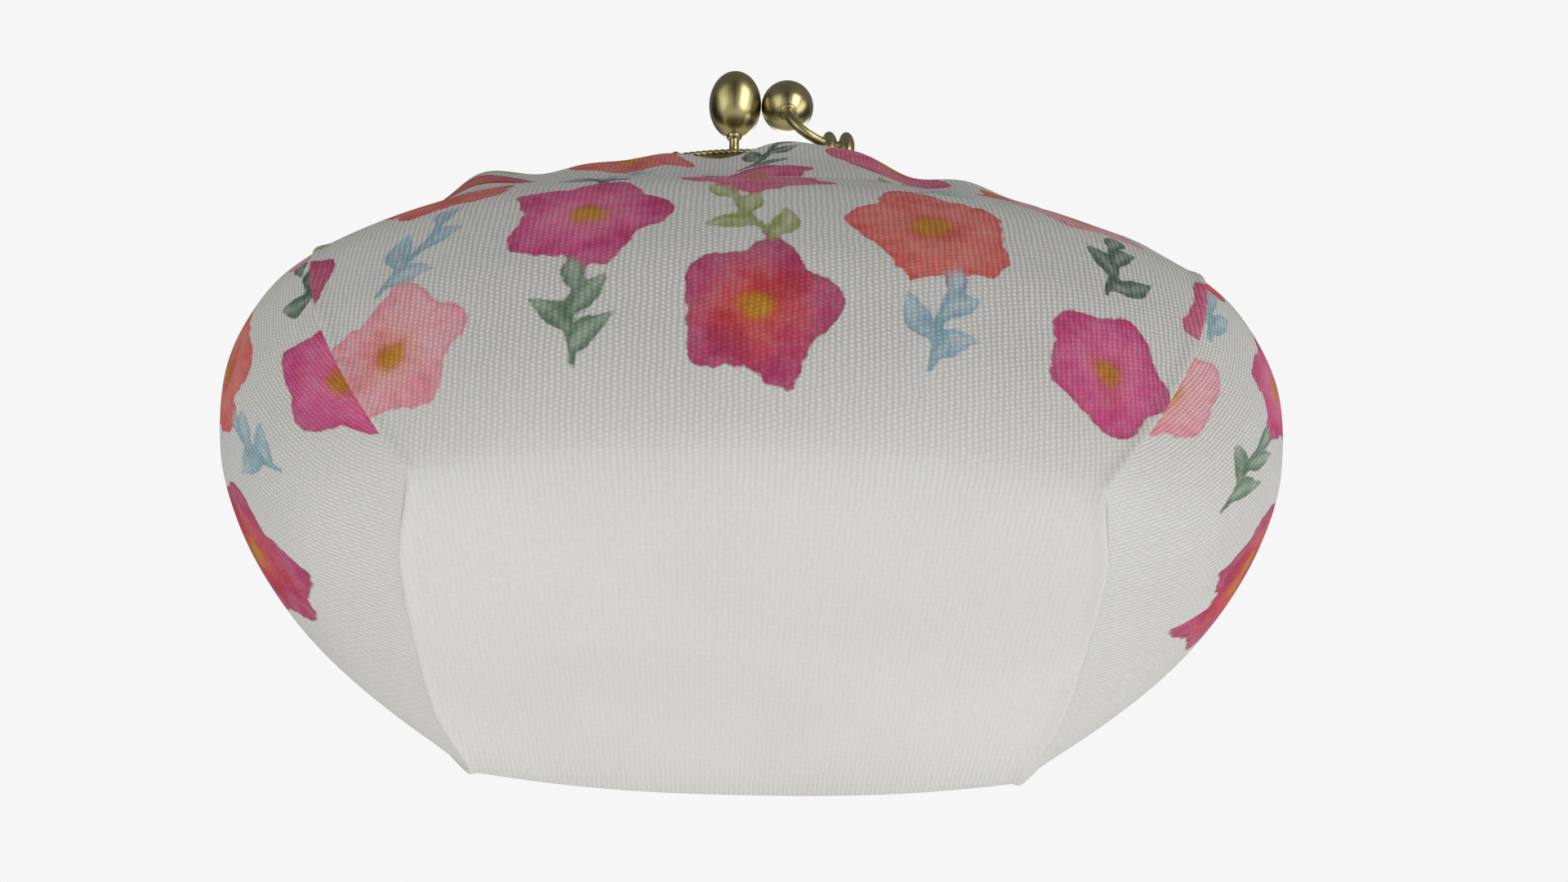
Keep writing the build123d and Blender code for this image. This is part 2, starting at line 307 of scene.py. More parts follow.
PALETTE = {
    "crimson": ((0.62, 0.015, 0.045), (0.50, 0.02, 0.16)),
    "scarlet": ((0.70, 0.06, 0.045), (0.62, 0.02, 0.07)),
    "coral": ((0.80, 0.20, 0.13), (0.74, 0.10, 0.09)),
    "blush": ((0.86, 0.47, 0.50), (0.84, 0.36, 0.42)),
    "magenta": ((0.74, 0.07, 0.27), (0.60, 0.02, 0.20)),
    "rose": ((0.72, 0.16, 0.28), (0.66, 0.08, 0.20)),
    "mustard": ((0.60, 0.27, 0.02), (0.52, 0.17, 0.01)),
    "forest": ((0.035, 0.11, 0.055), (0.09, 0.20, 0.10)),
    "fern": ((0.13, 0.25, 0.14), (0.22, 0.36, 0.21)),
    "olive": ((0.36, 0.41, 0.10), (0.46, 0.50, 0.19)),
    "sky": ((0.33, 0.50, 0.58), (0.44, 0.60, 0.66)),
    "mist": ((0.44, 0.60, 0.55), (0.54, 0.68, 0.63)),
}


class Print:
    """Paint laid on a grid of cloth points: colour and how far inside the paint each point is."""

    def __init__(self, across, up, seed):
        self.across = across + 0.30 * np.sin(0.6 * up + 1.4 * np.sin(0.35 * across))
        self.up = up + 0.30 * np.sin(0.6 * across + 1.1 * np.sin(0.4 * up))
        self.colour = np.tile(np.array(WHITE), across.shape + (1,))
        self.depth = np.full(across.shape, -6.0)
        self.strength = np.ones(across.shape)
        self.random = np.random.default_rng(seed)

    def near(self, outline, margin=3.0):
        """Slices of the grid that an outline can reach."""
        low, high = outline.min(axis=0) - margin, outline.max(axis=0) + margin
        hit = (self.across > low[0]) & (self.across < high[0])
        hit &= (self.up > low[1]) & (self.up < high[1])
        rows, columns = np.where(hit.any(axis=1))[0], np.where(hit.any(axis=0))[0]
        if not len(rows) or not len(columns):
            return None
        return slice(rows[0], rows[-1] + 1), slice(columns[0], columns[-1] + 1)

    def inside(self, outline, part):
        """Signed distance to a closed outline, positive inside."""
        x, y = self.across[part][..., None], self.up[part][..., None]
        ends = np.roll(outline, -1, axis=0)
        edge = ends - outline
        along = (x - outline[:, 0]) * edge[:, 0] + (y - outline[:, 1]) * edge[:, 1]
        along = np.clip(along / np.maximum((edge ** 2).sum(axis=1), 1e-9), 0.0, 1.0)
        near_x = x - outline[:, 0] - along * edge[:, 0]
        near_y = y - outline[:, 1] - along * edge[:, 1]
        distance = np.sqrt((near_x ** 2 + near_y ** 2).min(axis=-1))
        above = (outline[:, 1] > y) != (ends[:, 1] > y)
        rise = np.where(edge[:, 1] == 0, 1e-9, edge[:, 1])
        crossing = x < outline[:, 0] + (y - outline[:, 1]) * edge[:, 0] / rise
        odd = (above & crossing).sum(axis=-1) % 2
        return np.where(odd == 1, distance, -distance)

    def lay(self, outline, tint, start, end, strength=1.0, bleed=0.35, streak=0.12):
        """Paints an outline; the tint runs from its first colour at start to its second at end."""
        part = self.near(outline)
        if part is None:
            return
        depth = self.inside(outline, part)
        axis = np.array(end) - np.array(start)
        size = max(float(np.hypot(*axis)), 1e-6)
        x, y = self.across[part] - start[0], self.up[part] - start[1]
        along = np.clip((x * axis[0] + y * axis[1]) / size ** 2, 0.0, 1.0)
        side = (y * axis[0] - x * axis[1]) / size
        first, second = [np.array(c) for c in PALETTE[tint]]
        fade = smooth(0.1, 0.95, along)[..., None]
        phase = self.random.uniform(0, 6.28)
        veins = np.sin(side * 3.4 / (0.35 + along) + phase) * np.sin(along * 9.0 + phase)
        wet = (1.0 + streak * veins)[..., None]
        colour = (first * (1 - fade) + second * fade) * wet
        painted = self.depth[part] > 0.0
        amount = np.where(painted, smooth(-bleed, bleed, depth), smooth(-1.6, -0.5, depth))
        weight = amount[..., None]
        self.colour[part] = self.colour[part] * (1 - weight) + colour * weight
        self.strength[part] = self.strength[part] * (1 - amount) + strength * amount
        self.depth[part] = self.merged(self.depth[part], depth)

    def merged(self, before, after, reach=0.7):
        """Union of two distances that fills the corners where shapes meet."""
        share = np.clip(0.5 + 0.5 * (after - before) / reach, 0.0, 1.0)
        return before * (1 - share) + after * share + reach * share * (1 - share)

    def petal(self, base, angle, length, width, tint, strength=1.0, ragged=0.06, bleed=0.5):
        """Broad petal with a wavy tip; angle in degrees from straight up, clockwise."""
        t = np.linspace(0.0, 1.0, 15)
        waves = 1.0 + ragged * self.random.normal(size=(2, 15)) * (0.3 + t)
        half = width / 2 * np.sin(np.pi * np.clip(t, 0, 1) ** 0.72) ** 0.62 * waves
        reach = length * (t + ragged * 0.35 * self.random.normal(size=15) * t)
        left = np.stack([-half[0], reach], axis=1)
        right = np.stack([half[1], reach], axis=1)[::-1]
        self.placed(np.concatenate([left, right[1:-1]]), base, angle, length, tint, strength, bleed)

    def leaf(self, base, angle, length, width, tint, strength=1.0):
        """Pointed leaf with a pale midrib."""
        t = np.linspace(0.0, 1.0, 11)
        half = width / 2 * np.sin(np.pi * t ** 0.80) ** 1.2
        curve = 0.10 * length * np.sin(np.pi * t) * self.random.choice([-1, 1])
        left = np.stack([curve - half, length * t], axis=1)
        right = np.stack([curve + half, length * t], axis=1)[::-1]
        self.placed(np.concatenate([left, right[1:-1]]), base, angle, length, tint, strength, 0.3)
        self.lift(base, angle, length, curve)

    def placed(self, outline, base, angle, length, tint, strength, bleed):
        """Turns an outline drawn upwards to its angle and paints it from base to tip."""
        turn = math.radians(angle)
        c, s = math.cos(turn), math.sin(turn)
        across = outline[:, 0] * c + outline[:, 1] * s + base[0]
        up = -outline[:, 0] * s + outline[:, 1] * c + base[1]
        tip = (base[0] + length * s, base[1] + length * c)
        self.lay(np.stack([across, up], axis=1), tint, base, tip, strength, bleed)

    def lift(self, base, angle, length, curve):
        """Wipes a fine line of paint off along a leaf."""
        turn = math.radians(angle)
        c, s = math.cos(turn), math.sin(turn)
        t = np.linspace(0.12, 0.80, 7)
        bend = np.interp(t, np.linspace(0, 1, len(curve)), curve)
        line = np.stack([base[0] + bend * c + length * t * s, base[1] - bend * s + length * t * c], axis=1)
        part = self.near(line, 1.0)
        if part is None:
            return
        distance = self.to_line(line, part)
        faint = 1.0 - 0.16 * (1.0 - smooth(0.15, 0.75, distance))
        self.strength[part] = self.strength[part] * faint

    def to_line(self, line, part):
        """Distance to an open line."""
        x, y = self.across[part], self.up[part]
        best = np.full(x.shape, 1e3)
        for (ax, ay), (bx, by) in zip(line[:-1], line[1:]):
            ex, ey = bx - ax, by - ay
            along = np.clip(((x - ax) * ex + (y - ay) * ey) / max(ex * ex + ey * ey, 1e-9), 0.0, 1.0)
            best = np.minimum(best, np.hypot(x - ax - along * ex, y - ay - along * ey))
        return best

    def stem(self, line, width, tint, strength=1.0):
        """Thin brush line through points."""
        line = np.array(line, float)
        part = self.near(line)
        if part is None:
            return
        depth = width / 2 - self.to_line(line, part)
        amount = smooth(-0.45, 0.15, depth)
        weight = amount[..., None]
        self.colour[part] = self.colour[part] * (1 - weight) + np.array(PALETTE[tint][0]) * weight
        self.strength[part] = self.strength[part] * (1 - amount) + strength * amount
        self.depth[part] = np.maximum(self.depth[part], depth)

    def blot(self, centre, radius, tint, strength, bleed):
        """Round drop of paint with an uneven rim."""
        turn = np.linspace(0, 2 * np.pi, 18, endpoint=False)
        size = radius * (1.0 + 0.10 * self.random.normal(size=18))
        outline = np.stack([size * np.cos(turn), size * np.sin(turn)], axis=1)
        self.placed(outline, centre, 0.0, radius, tint, strength, bleed)

    def wash(self, centre, radius, tint, strength):
        """Soft stain inside paint that is already there."""
        away = np.hypot(self.across - centre[0], self.up - centre[1])
        away = away * (1.0 + 0.22 * np.sin(0.9 * self.across + 2.0 * np.sin(0.7 * self.up)))
        amount = strength * (1.0 - smooth(0.1 * radius, 1.35 * radius, away)) * smooth(-0.5, 0.3, self.depth)
        weight = amount[..., None]
        self.colour = self.colour * (1 - weight) + np.array(PALETTE[tint][0]) * weight
        self.strength = np.maximum(self.strength, amount)

    def sprig(self, line, leaves, tints, length, width, strength=1.0):
        """Stem with leaves placed along it: (fraction along, lean from the stem in degrees, size)."""
        line = np.array(line, float)
        self.stem(line, 0.8, tints[0], strength)
        steps = np.linalg.norm(np.diff(line, axis=0), axis=1)
        reach = np.concatenate([[0], np.cumsum(steps)]) / steps.sum()
        for i, (fraction, lean, size) in enumerate(leaves):
            x = np.interp(fraction, reach, line[:, 0])
            y = np.interp(fraction, reach, line[:, 1])
            k = min(int(np.searchsorted(reach, fraction, side="right")), len(line) - 1)
            step = line[k] - line[k - 1]
            heading = math.degrees(math.atan2(step[0], step[1]))
            self.leaf((x, y), heading + lean, length * size, width * size, tints[i % len(tints)], strength)

    def fields(self):
        """Attributes that the cloth material reads."""
        return {"paint": self.colour, "inside": self.depth, "strength": self.strength}


def flower(p, centre, petals, stain):
    """Round flower with a stained heart, turned at random."""
    reach = p.random.uniform(*FLOWER_REACH)
    turn = p.random.uniform(0.0, 360.0 / PETALS)
    for k in range(PETALS):
        p.petal(centre, turn + k * 360.0 / PETALS, reach, reach, petals, 0.8, 0.07)
    p.wash(centre, 0.5 * reach, stain, 0.7)
    p.blot(centre, 0.2 * reach, "mustard", 0.95, 0.6)


def small_sprig(p, middle, tint):
    """Bent stem with four leaves that leans to one side."""
    x, y = middle
    lean = p.random.uniform(-3.0, 3.0)
    line = [
        (x - lean, y - SPRIG_HALF),
        (x + 0.3 * lean, y - 0.2 * SPRIG_HALF),
        (x + lean, y + 0.6 * SPRIG_HALF),
    ]
    p.sprig(line, SPRIG_LEAVES, (tint,), 6.5, 3.2, 0.8)


def repeat_place(p, column, row):
    """Where a flower or a sprig of the repeat lies."""
    off = p.random.uniform(-OFF_PLACE, OFF_PLACE, 2)
    return column * REPEAT_ACROSS + off[0], REPEAT_LOW + row * REPEAT_UP + off[1]


def repeat_print(across, up, seed):
    """The repeat on one piece of cloth: the sprigs, then the flowers."""
    p = Print(across, up, seed)
    places = [(column, row) for column in REPEAT_COLUMNS for row in REPEAT_ROWS]
    for column, row in places:
        if (column + row) % 2:
            small_sprig(p, repeat_place(p, column, row), SPRIGS[(2 * column + row) % len(SPRIGS)])
    for column, row in places:
        if (column + row) % 2 == 0:
            flower(p, repeat_place(p, column, row), *FLOWERS[(2 * column + row) % len(FLOWERS)])
    return p.fields()


# ---- materials ---------------------------------------------------------------------
class Nodes:
    """Short calls for building a material's node tree."""

    def __init__(self, name):
        self.material = bpy.data.materials.new(name)
        self.material.use_nodes = True
        self.tree = self.material.node_tree
        self.shader = self.tree.nodes["Principled BSDF"]

    def node(self, kind, **settings):
        made = self.tree.nodes.new(kind)
        for key, value in settings.items():
            setattr(made, key, value)
        return made

    def feed(self, socket, value):
        if isinstance(value, bpy.types.NodeSocket):
            self.tree.links.new(value, socket)
        else:
            socket.default_value = value

    def math(self, operation, a, b=0.0, c=0.0):
        made = self.node("ShaderNodeMath", operation=operation)
        for socket, value in zip(made.inputs, (a, b, c)):
            self.feed(socket, value)
        return made.outputs[0]

    def ramp(self, value, low, high, to_low=0.0, to_high=1.0):
        made = self.node("ShaderNodeMapRange", interpolation_type="SMOOTHSTEP")
        keys = ("Value", "From Min", "From Max", "To Min", "To Max")
        for key, item in zip(keys, (value, low, high, to_low, to_high)):
            self.feed(made.inputs[key], item)
        return made.outputs["Result"]

    def mix(self, factor, a, b, blend="MIX"):
        made = self.node("ShaderNodeMix", data_type="RGBA", blend_type=blend)
        self.feed(made.inputs["Factor"], factor)
        self.feed(made.inputs["A"], a)
        self.feed(made.inputs["B"], b)
        return made.outputs["Result"]

    def grey(self, value):
        made = self.node("ShaderNodeCombineColor")
        for socket in made.inputs[:3]:
            self.feed(socket, value)
        return made.outputs[0]

    def noise(self, vector, scale, detail=3.0, rough=0.55):
        made = self.node("ShaderNodeTexNoise")
        self.feed(made.inputs["Vector"], vector)
        made.inputs["Scale"].default_value = scale
        made.inputs["Detail"].default_value = detail
        made.inputs["Roughness"].default_value = rough
        return made.outputs["Fac"]

    def attribute(self, name, output="Fac"):
        return self.node("ShaderNodeAttribute", attribute_name=name).outputs[output]

    def bump(self, height, distance, strength=1.0, normal=None):
        made = self.node("ShaderNodeBump")
        made.inputs["Strength"].default_value = strength
        made.inputs["Distance"].default_value = distance
        self.feed(made.inputs["Height"], height)
        if normal:
            self.feed(made.inputs["Normal"], normal)
        return made.outputs["Normal"]


RIB = 0.61                  # spacing of the canvas ribs, millimetres
PICK = 0.49                 # spacing of the crossing threads


def weave_height(n, rib, pick, skew):
    """Height of a ribbed plain weave, from 0 in the pits to 1 on the crowns."""
    cloth = n.node("ShaderNodeSeparateXYZ")
    n.feed(cloth.inputs[0], n.attribute("cloth", "Vector"))
    warp = n.noise(n.attribute("cloth", "Vector"), 0.35, 2.0)
    across = n.math("DIVIDE", cloth.outputs["X"], rib)
    across = n.math("ADD", across, n.math("MULTIPLY", n.math("SUBTRACT", warp, 0.5), 0.8))
    up = n.math("DIVIDE", cloth.outputs["Y"], pick)
    column = n.math("FLOOR", n.math("ADD", across, 0.5))
    up = n.math("ADD", up, n.math("MULTIPLY", column, 0.5 + skew))
    rib_wave = n.math("MULTIPLY_ADD", n.math("COSINE", n.math("MULTIPLY", across, 2 * math.pi)), 0.5, 0.5)
    pick_wave = n.math("MULTIPLY_ADD", n.math("COSINE", n.math("MULTIPLY", up, 2 * math.pi)), 0.5, 0.5)
    rib_wave = n.math("POWER", rib_wave, 0.7)
    return n.math("MULTIPLY", rib_wave, n.math("MULTIPLY_ADD", pick_wave, 0.62, 0.38))


def canvas_material():
    """Off-white coarse canvas with the watercolour print soaked into it."""
    n = Nodes("printed_canvas")
    cloth = n.attribute("cloth", "Vector")
    height = weave_height(n, RIB, PICK, 0.11)
    inside = n.attribute("inside")
    strength = n.attribute("strength")
    wobble = n.math("SUBTRACT", n.noise(cloth, 0.9, 4.0, 0.7), 0.5)
    shifted = n.math("MULTIPLY_ADD", wobble, 0.9, inside)
    mask = n.ramp(shifted, -0.12, 0.16)
    rim = n.ramp(shifted, 0.0, 0.9, 1.0, 0.0)
    pool = n.noise(cloth, 0.16, 3.0, 0.6)
    streaks = n.noise(cloth, 0.55, 5.0, 0.7)
    water = n.ramp(n.math("MULTIPLY_ADD", streaks, 0.5, n.math("MULTIPLY", pool, 0.6)), 0.40, 0.70, 0.42, 0.0)
    wash = n.math("SUBTRACT", 1.0, n.math("MULTIPLY", water, n.math("SUBTRACT", 1.12, strength)))
    load = n.math("MULTIPLY", strength, wash)
    load = n.math("MAXIMUM", load, n.math("MULTIPLY", n.math("MULTIPLY", rim, strength), 0.95))
    load = n.math("MULTIPLY_ADD", n.math("SUBTRACT", 1.0, load), n.ramp(load, 0.55, 0.88), load)
    grain = n.ramp(n.noise(cloth, 4.0, 2.0), 0.3, 0.7, 0.97, 1.0)
    cover = n.math("MULTIPLY", n.math("MULTIPLY", mask, load), grain)
    pure = n.attribute("paint", "Color")
    dense = n.math("MAXIMUM", n.math("MULTIPLY", rim, 0.45), n.ramp(pool, 0.48, 0.66, 0.0, 0.40))
    paint = n.mix(dense, pure, pure, "MULTIPLY")
    warmth = n.ramp(n.noise(cloth, 0.03, 2.0), 0.35, 0.65)
    white = n.mix(warmth, (0.700, 0.692, 0.660, 1.0), (0.725, 0.718, 0.690, 1.0))
    colour = n.mix(cover, white, paint)
    rise = n.node("ShaderNodeSeparateXYZ")
    n.feed(rise.inputs[0], cloth)
    # Painted shade: the pits of the weave are darkened in the colour, darker towards the top of the panel
    # than on the base.
    pit_shade_by_height = n.ramp(rise.outputs["Y"], 20.0, 48.0, 0.975, 0.70)
    painted_pit_shade = n.ramp(height, 0.0, 0.8, pit_shade_by_height, 1.0)
    fleck = n.ramp(n.noise(cloth, 1.8, 3.0), 0.25, 0.75, 0.96, 1.02)
    colour = n.mix(1.0, colour, n.grey(n.math("MULTIPLY", painted_pit_shade, fleck)), "MULTIPLY")
    n.feed(n.shader.inputs["Base Color"], colour)
    rough = n.ramp(height, 0.0, 1.0, 0.95, 0.82)
    n.feed(n.shader.inputs["Roughness"], rough)
    n.shader.inputs["Specular IOR Level"].default_value = 0.15
    n.shader.inputs["Sheen Weight"].default_value = 0.05
    n.shader.inputs["Sheen Roughness"].default_value = 0.45
    slub = n.bump(n.noise(cloth, 0.45, 3.0), 0.00012, 0.5)
    relief = n.math("MULTIPLY", height, n.ramp(rise.outputs["Y"], 16.0, 46.0, 0.25, 1.0))
    n.feed(n.shader.inputs["Normal"], n.bump(relief, 0.00016, 0.9, slub))
    return n.material


def lining_material():
    """Plain natural cotton."""
    n = Nodes("cotton_lining")
    cloth = n.attribute("cloth", "Vector")
    height = weave_height(n, 0.42, 0.42, 0.0)
    tone = n.ramp(n.noise(cloth, 0.05, 3.0), 0.3, 0.7)
    base = n.mix(tone, (0.70, 0.66, 0.57, 1.0), (0.76, 0.73, 0.65, 1.0))
    shade = n.grey(n.ramp(height, 0.0, 0.8, 0.78, 1.0))
    n.feed(n.shader.inputs["Base Color"], n.mix(1.0, base, shade, "MULTIPLY"))
    n.shader.inputs["Roughness"].default_value = 0.9
    n.shader.inputs["Sheen Weight"].default_value = 0.15
    n.feed(n.shader.inputs["Normal"], n.bump(height, 0.00008, 0.7))
    return n.material


def bronze_material(name, bright, dark, rough_low, rough_high, wear_scale=420.0, pitting=0.35):
    """Antique bronze: rubbed bright on the crowns, brown in the hollows."""
    n = Nodes(name)
    place = n.node("ShaderNodeTexCoord").outputs["Object"]
    mottled = n.noise(place, wear_scale, 6.0, 0.62)
    fine = n.noise(place, wear_scale * 7.0, 3.0, 0.6)
    edge = n.node("ShaderNodeNewGeometry").outputs["Pointiness"]
    worn = n.ramp(n.math("ADD", n.math("MULTIPLY", mottled, 0.8), n.math("MULTIPLY", edge, 0.5)), 0.48, 0.80)
    n.feed(n.shader.inputs["Base Color"], n.mix(worn, dark + (1.0,), bright + (1.0,)))
    n.shader.inputs["Metallic"].default_value = 1.0
    polish = n.ramp(n.math("MULTIPLY_ADD", fine, 0.4, mottled), 0.4, 0.95, rough_high, rough_low)
    n.feed(n.shader.inputs["Roughness"], polish)
    n.feed(n.shader.inputs["Normal"], n.bump(n.math("MULTIPLY_ADD", fine, 0.35, mottled), 0.00002, pitting))
    return n.material


def board_material():
    """Grey stiffener board with a fibrous surface."""
    n = Nodes("grey_board")
    place = n.node("ShaderNodeTexCoord").outputs["Object"]
    fibre = n.noise(place, 900.0, 5.0, 0.7)
    n.feed(n.shader.inputs["Base Color"], n.mix(fibre, (0.42, 0.40, 0.36, 1.0), (0.58, 0.55, 0.50, 1.0)))
    n.shader.inputs["Roughness"].default_value = 0.95
    n.feed(n.shader.inputs["Normal"], n.bump(fibre, 0.0001, 0.5))
    return n.material


def paper_cord_material():
    """Kraft paper twisted into a cord."""
    n = Nodes("paper_cord")
    place = n.node("ShaderNodeTexCoord").outputs["Object"]
    fibre = n.noise(place, 1400.0, 4.0, 0.7)
    n.feed(n.shader.inputs["Base Color"], n.mix(fibre, (0.52, 0.40, 0.25, 1.0), (0.70, 0.58, 0.40, 1.0)))
    n.shader.inputs["Roughness"].default_value = 0.85
    n.feed(n.shader.inputs["Normal"], n.bump(fibre, 0.00008, 0.6))
    return n.material


CANVAS = canvas_material()
LINING = lining_material()
BRONZE = bronze_material("antique_bronze", (0.42, 0.355, 0.165), (0.12, 0.095, 0.040), 0.27, 0.44)
BALL_BRONZE = bronze_material(
    "rubbed_bronze", (0.38, 0.33, 0.155), (0.25, 0.21, 0.092), 0.27, 0.34, 180.0, 0.10)
BOARD = board_material()
PAPER = paper_cord_material()


def dress(piece, material):
    """Gives a piece its material."""
    piece.data.materials.clear()
    piece.data.materials.append(material)


# ---- cloth pieces --------------------------------------------------------------------
BOARD_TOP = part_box("base_board")[1][2] / MM
LINING_INSET = 1.3                          # lining's depth below the face of the canvas
LINING_STEP = 1.4
PANEL_BEND = ((0.0, -0.0236, 0.0268), (0.0, -0.0033, 0.0447))
GUSSET_BEND = ((0.0, 0.0, 0.0335), (0.0, 0.0, 0.0452))


def cloth_piece(name, points, width, level, fields, sides):
    """Grid of cloth with turned edges on the given sides and its print."""
    values = {"cloth": np.stack([width, level, np.zeros_like(level)], axis=-1), **fields}
    for side in sides:
        points = rolled_edge(points, side)
        values = {key: pad_columns(value, 2, side) for key, value in values.items()}
    return grid_mesh(name, points, values)


def lining_depth(level, low):
    """Depth of the lining, deeper over the stiffener board, shallower inside the channel."""
    over_board = (BOARD_TOP + 0.5 - LINING_INSET) * (1.0 - smooth(low, low + 10.0, level))
    return LINING_INSET + over_board - 0.4 * smooth(KNOTS[0] - 5.0, KNOTS[0], level)


def bend(piece, frame_body, ends, mirror):
    """Bakes a piece's placement into its mesh."""
    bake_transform(piece)


def build_panels():
    """Outer panels and their linings, front and back."""
    outer, _, level, width = panel_grid()
    smooth_points, _, level_in, width_in = panel_grid(0.0, LINING_STEP)
    depth = lining_depth(level_in, 30.0)[..., None]
    inner = smooth_points - grid_normals(smooth_points) * depth
    plain = np.stack([width_in, level_in, np.zeros_like(level_in)], axis=-1)
    for side, body, mirror, seed in (("front", "front_frame", 1, 11), ("back", "back_frame", -1, 23)):
        turned = outer if mirror > 0 else half_turn(outer)
        turned_in = inner if mirror > 0 else half_turn(inner)
        fields = repeat_print(width, level, seed)
        panel = cloth_piece(side + "_panel_canvas", turned, width, level, fields, (-1, 1))
        dress(panel, CANVAS)
        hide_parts("main_panel", side + "_panel_top")
        bend(panel, body, PANEL_BEND, mirror)
        lining = grid_mesh(side + "_lining_cotton", turned_in, {"cloth": plain})
        lining.data.flip_normals()
        dress(lining, LINING)
        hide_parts("lining", side + "_lining_top")
        bend(lining, body, PANEL_BEND, mirror)


def build_gussets():
    """Both gussets, each in a front and a back half that part under the hinge."""
    for side, flip in (("right", 1), ("left", -1)):
        for half, low_w, high_w, seam in (("front", -1.0, 0.0, -1), ("back", 0.0, 1.0, 1)):
            points, _, level, width = gusset_grid(low_w, high_w)
            points = base_hem(points)
            level, width = [np.concatenate([grid[:1], grid]) for grid in (level, width)]
            if flip < 0:
                points = half_turn(points)
            near = seam * flip
            fields = repeat_print(width, level, 31 + flip)
            body = "front_frame" if near < 0 else "back_frame"
            place = "front" if near < 0 else "back"
            piece = cloth_piece(f"{side}_gusset_{place}_canvas", points, width, level, fields, (seam,))
            dress(piece, CANVAS)
            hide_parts("gusset_" + side)
            bend(piece, body, GUSSET_BEND, 1)
            inner, _, level_in, width_in = gusset_grid(low_w, high_w, step=LINING_STEP)
            inner = inner - grid_normals(inner) * lining_depth(level_in, 31.0)[..., None]
            if flip < 0:
                inner = half_turn(inner)
            plain = np.stack([width_in, level_in, np.zeros_like(level_in)], axis=-1)
            lining = grid_mesh(f"{side}_gusset_{place}_lining", inner, {"cloth": plain})
            lining.data.flip_normals()
            dress(lining, LINING)
            bend(lining, body, GUSSET_BEND, 1)


# ---- metal pieces --------------------------------------------------------------------
FRAME_R = CHANNEL_HIGH[2] - HINGE_Z         # outer radius of the channel
CHANNEL_FRONT, CHANNEL_BACK = CHANNEL_LOW[1], -0.4
CHANNEL_WIDTH = 5.0
WALL = 0.5
START_ANGLE = 5.5                           # where the channel begins, degrees above the hinge


def joined_mesh(name, parts):
    """One mesh object from several (vertices, faces) lists in millimetres."""
    vertices, faces = [], []
    for part_vertices, part_faces in parts:
        offset = len(vertices)
        vertices += [tuple(c * MM for c in v) for v in part_vertices]
        faces += [tuple(i + offset for i in f) for f in part_faces]
    mesh = bpy.data.meshes.new(name)
    mesh.from_pydata(vertices, [], faces)
    work = bmesh.new()
    work.from_mesh(mesh)
    bmesh.ops.recalc_face_normals(work, faces=work.faces)
    work.to_mesh(mesh)
    work.free()
    mesh.shade_smooth()
    piece = bpy.data.objects.new(name, mesh)
    bpy.context.scene.collection.objects.link(piece)
    return piece


def loft(rings, closed=False, caps=True):
    """Vertices and faces through rings of equal length."""
    count = len(rings[0])
    vertices = [tuple(p) for ring in rings for p in ring]
    faces = []
    laps = len(rings) if closed else len(rings) - 1
    for i in range(laps):
        a, b = i * count, ((i + 1) % len(rings)) * count
        for j in range(count):
            k = (j + 1) % count
            faces.append((a + j, a + k, b + k, b + j))
    if caps and not closed:
        faces.append(tuple(range(count)))
        faces.append(tuple(range(len(vertices) - count, len(vertices)))[::-1])
    return vertices, faces


def tube(path, radius, sides=16, twist=0.0, lobes=0, depth=0.0):
    """Round or twisted rope along a path; lobes and depth shape its strands."""
    path = [Vector(p) for p in path]
    rings = []
    side = None
    for i, point in enumerate(path):
        ahead = (path[min(i + 1, len(path) - 1)] - path[max(i - 1, 0)]).normalized()
        if side is None:
            side = ahead.orthogonal().normalized()
        side = (side - ahead * side.dot(ahead)).normalized()
        other = ahead.cross(side)
        turn = twist * i / max(len(path) - 1, 1)
        ring = []
        for j in range(sides):
            angle = 2 * math.pi * j / sides
            reach = radius * (1.0 - depth * (0.5 - 0.5 * math.cos(lobes * (angle - turn))))
            ring.append(point + side * reach * math.cos(angle) + other * reach * math.sin(angle))
        rings.append(ring)
    return loft(rings)


def revolve(profile, origin, axis, sides=48):
    """Turns (distance along, radius) pairs about an axis."""
    axis = Vector(axis).normalized()
    side = axis.orthogonal().normalized()
    other = axis.cross(side)
    rings = []
    for along, radius in profile:
        centre = Vector(origin) + axis * along
        rings.append([
            centre + (side * math.cos(2 * math.pi * j / sides) + other * math.sin(2 * math.pi * j / sides))
            * max(radius, 0.01) for j in range(sides)])
    return loft(rings)


def egg(half_length, radius, steps=32, lean=0.0):
    """Profile of an ellipsoid, fuller towards its far end as lean grows."""
    rows = []
    for i in range(steps + 1):
        turn = math.pi * (i / steps - 0.5)
        swell = 1.0 + lean * math.sin(turn)
        rows.append((half_length * math.sin(turn), radius * math.cos(turn) ** 0.96 * swell))
    return rows


def rounded(points, steps=8):
    """Smooth curve through points by Catmull-Rom."""
    points = [Vector(p) for p in points]
    ends = [2 * points[0] - points[1]] + points + [2 * points[-1] - points[-2]]
    curve = []
    for i in range(1, len(ends) - 2):
        a, b, c, d = ends[i - 1:i + 3]
        for k in range(steps):
            t = k / steps
            curve.append(0.5 * (2 * b + (c - a) * t + (2 * a - 5 * b + 4 * c - d) * t ** 2
                                + (3 * b - a - 3 * c + d) * t ** 3))
    return curve + [points[-1]]


def arc_path(radius, y, low, high, steps):
    """Points on an arch about the hinge line, in degrees from the right ear."""
    turns = np.radians(np.linspace(low, high, steps))
    return [(radius * math.cos(t), y, HINGE_Z + radius * math.sin(t)) for t in turns]


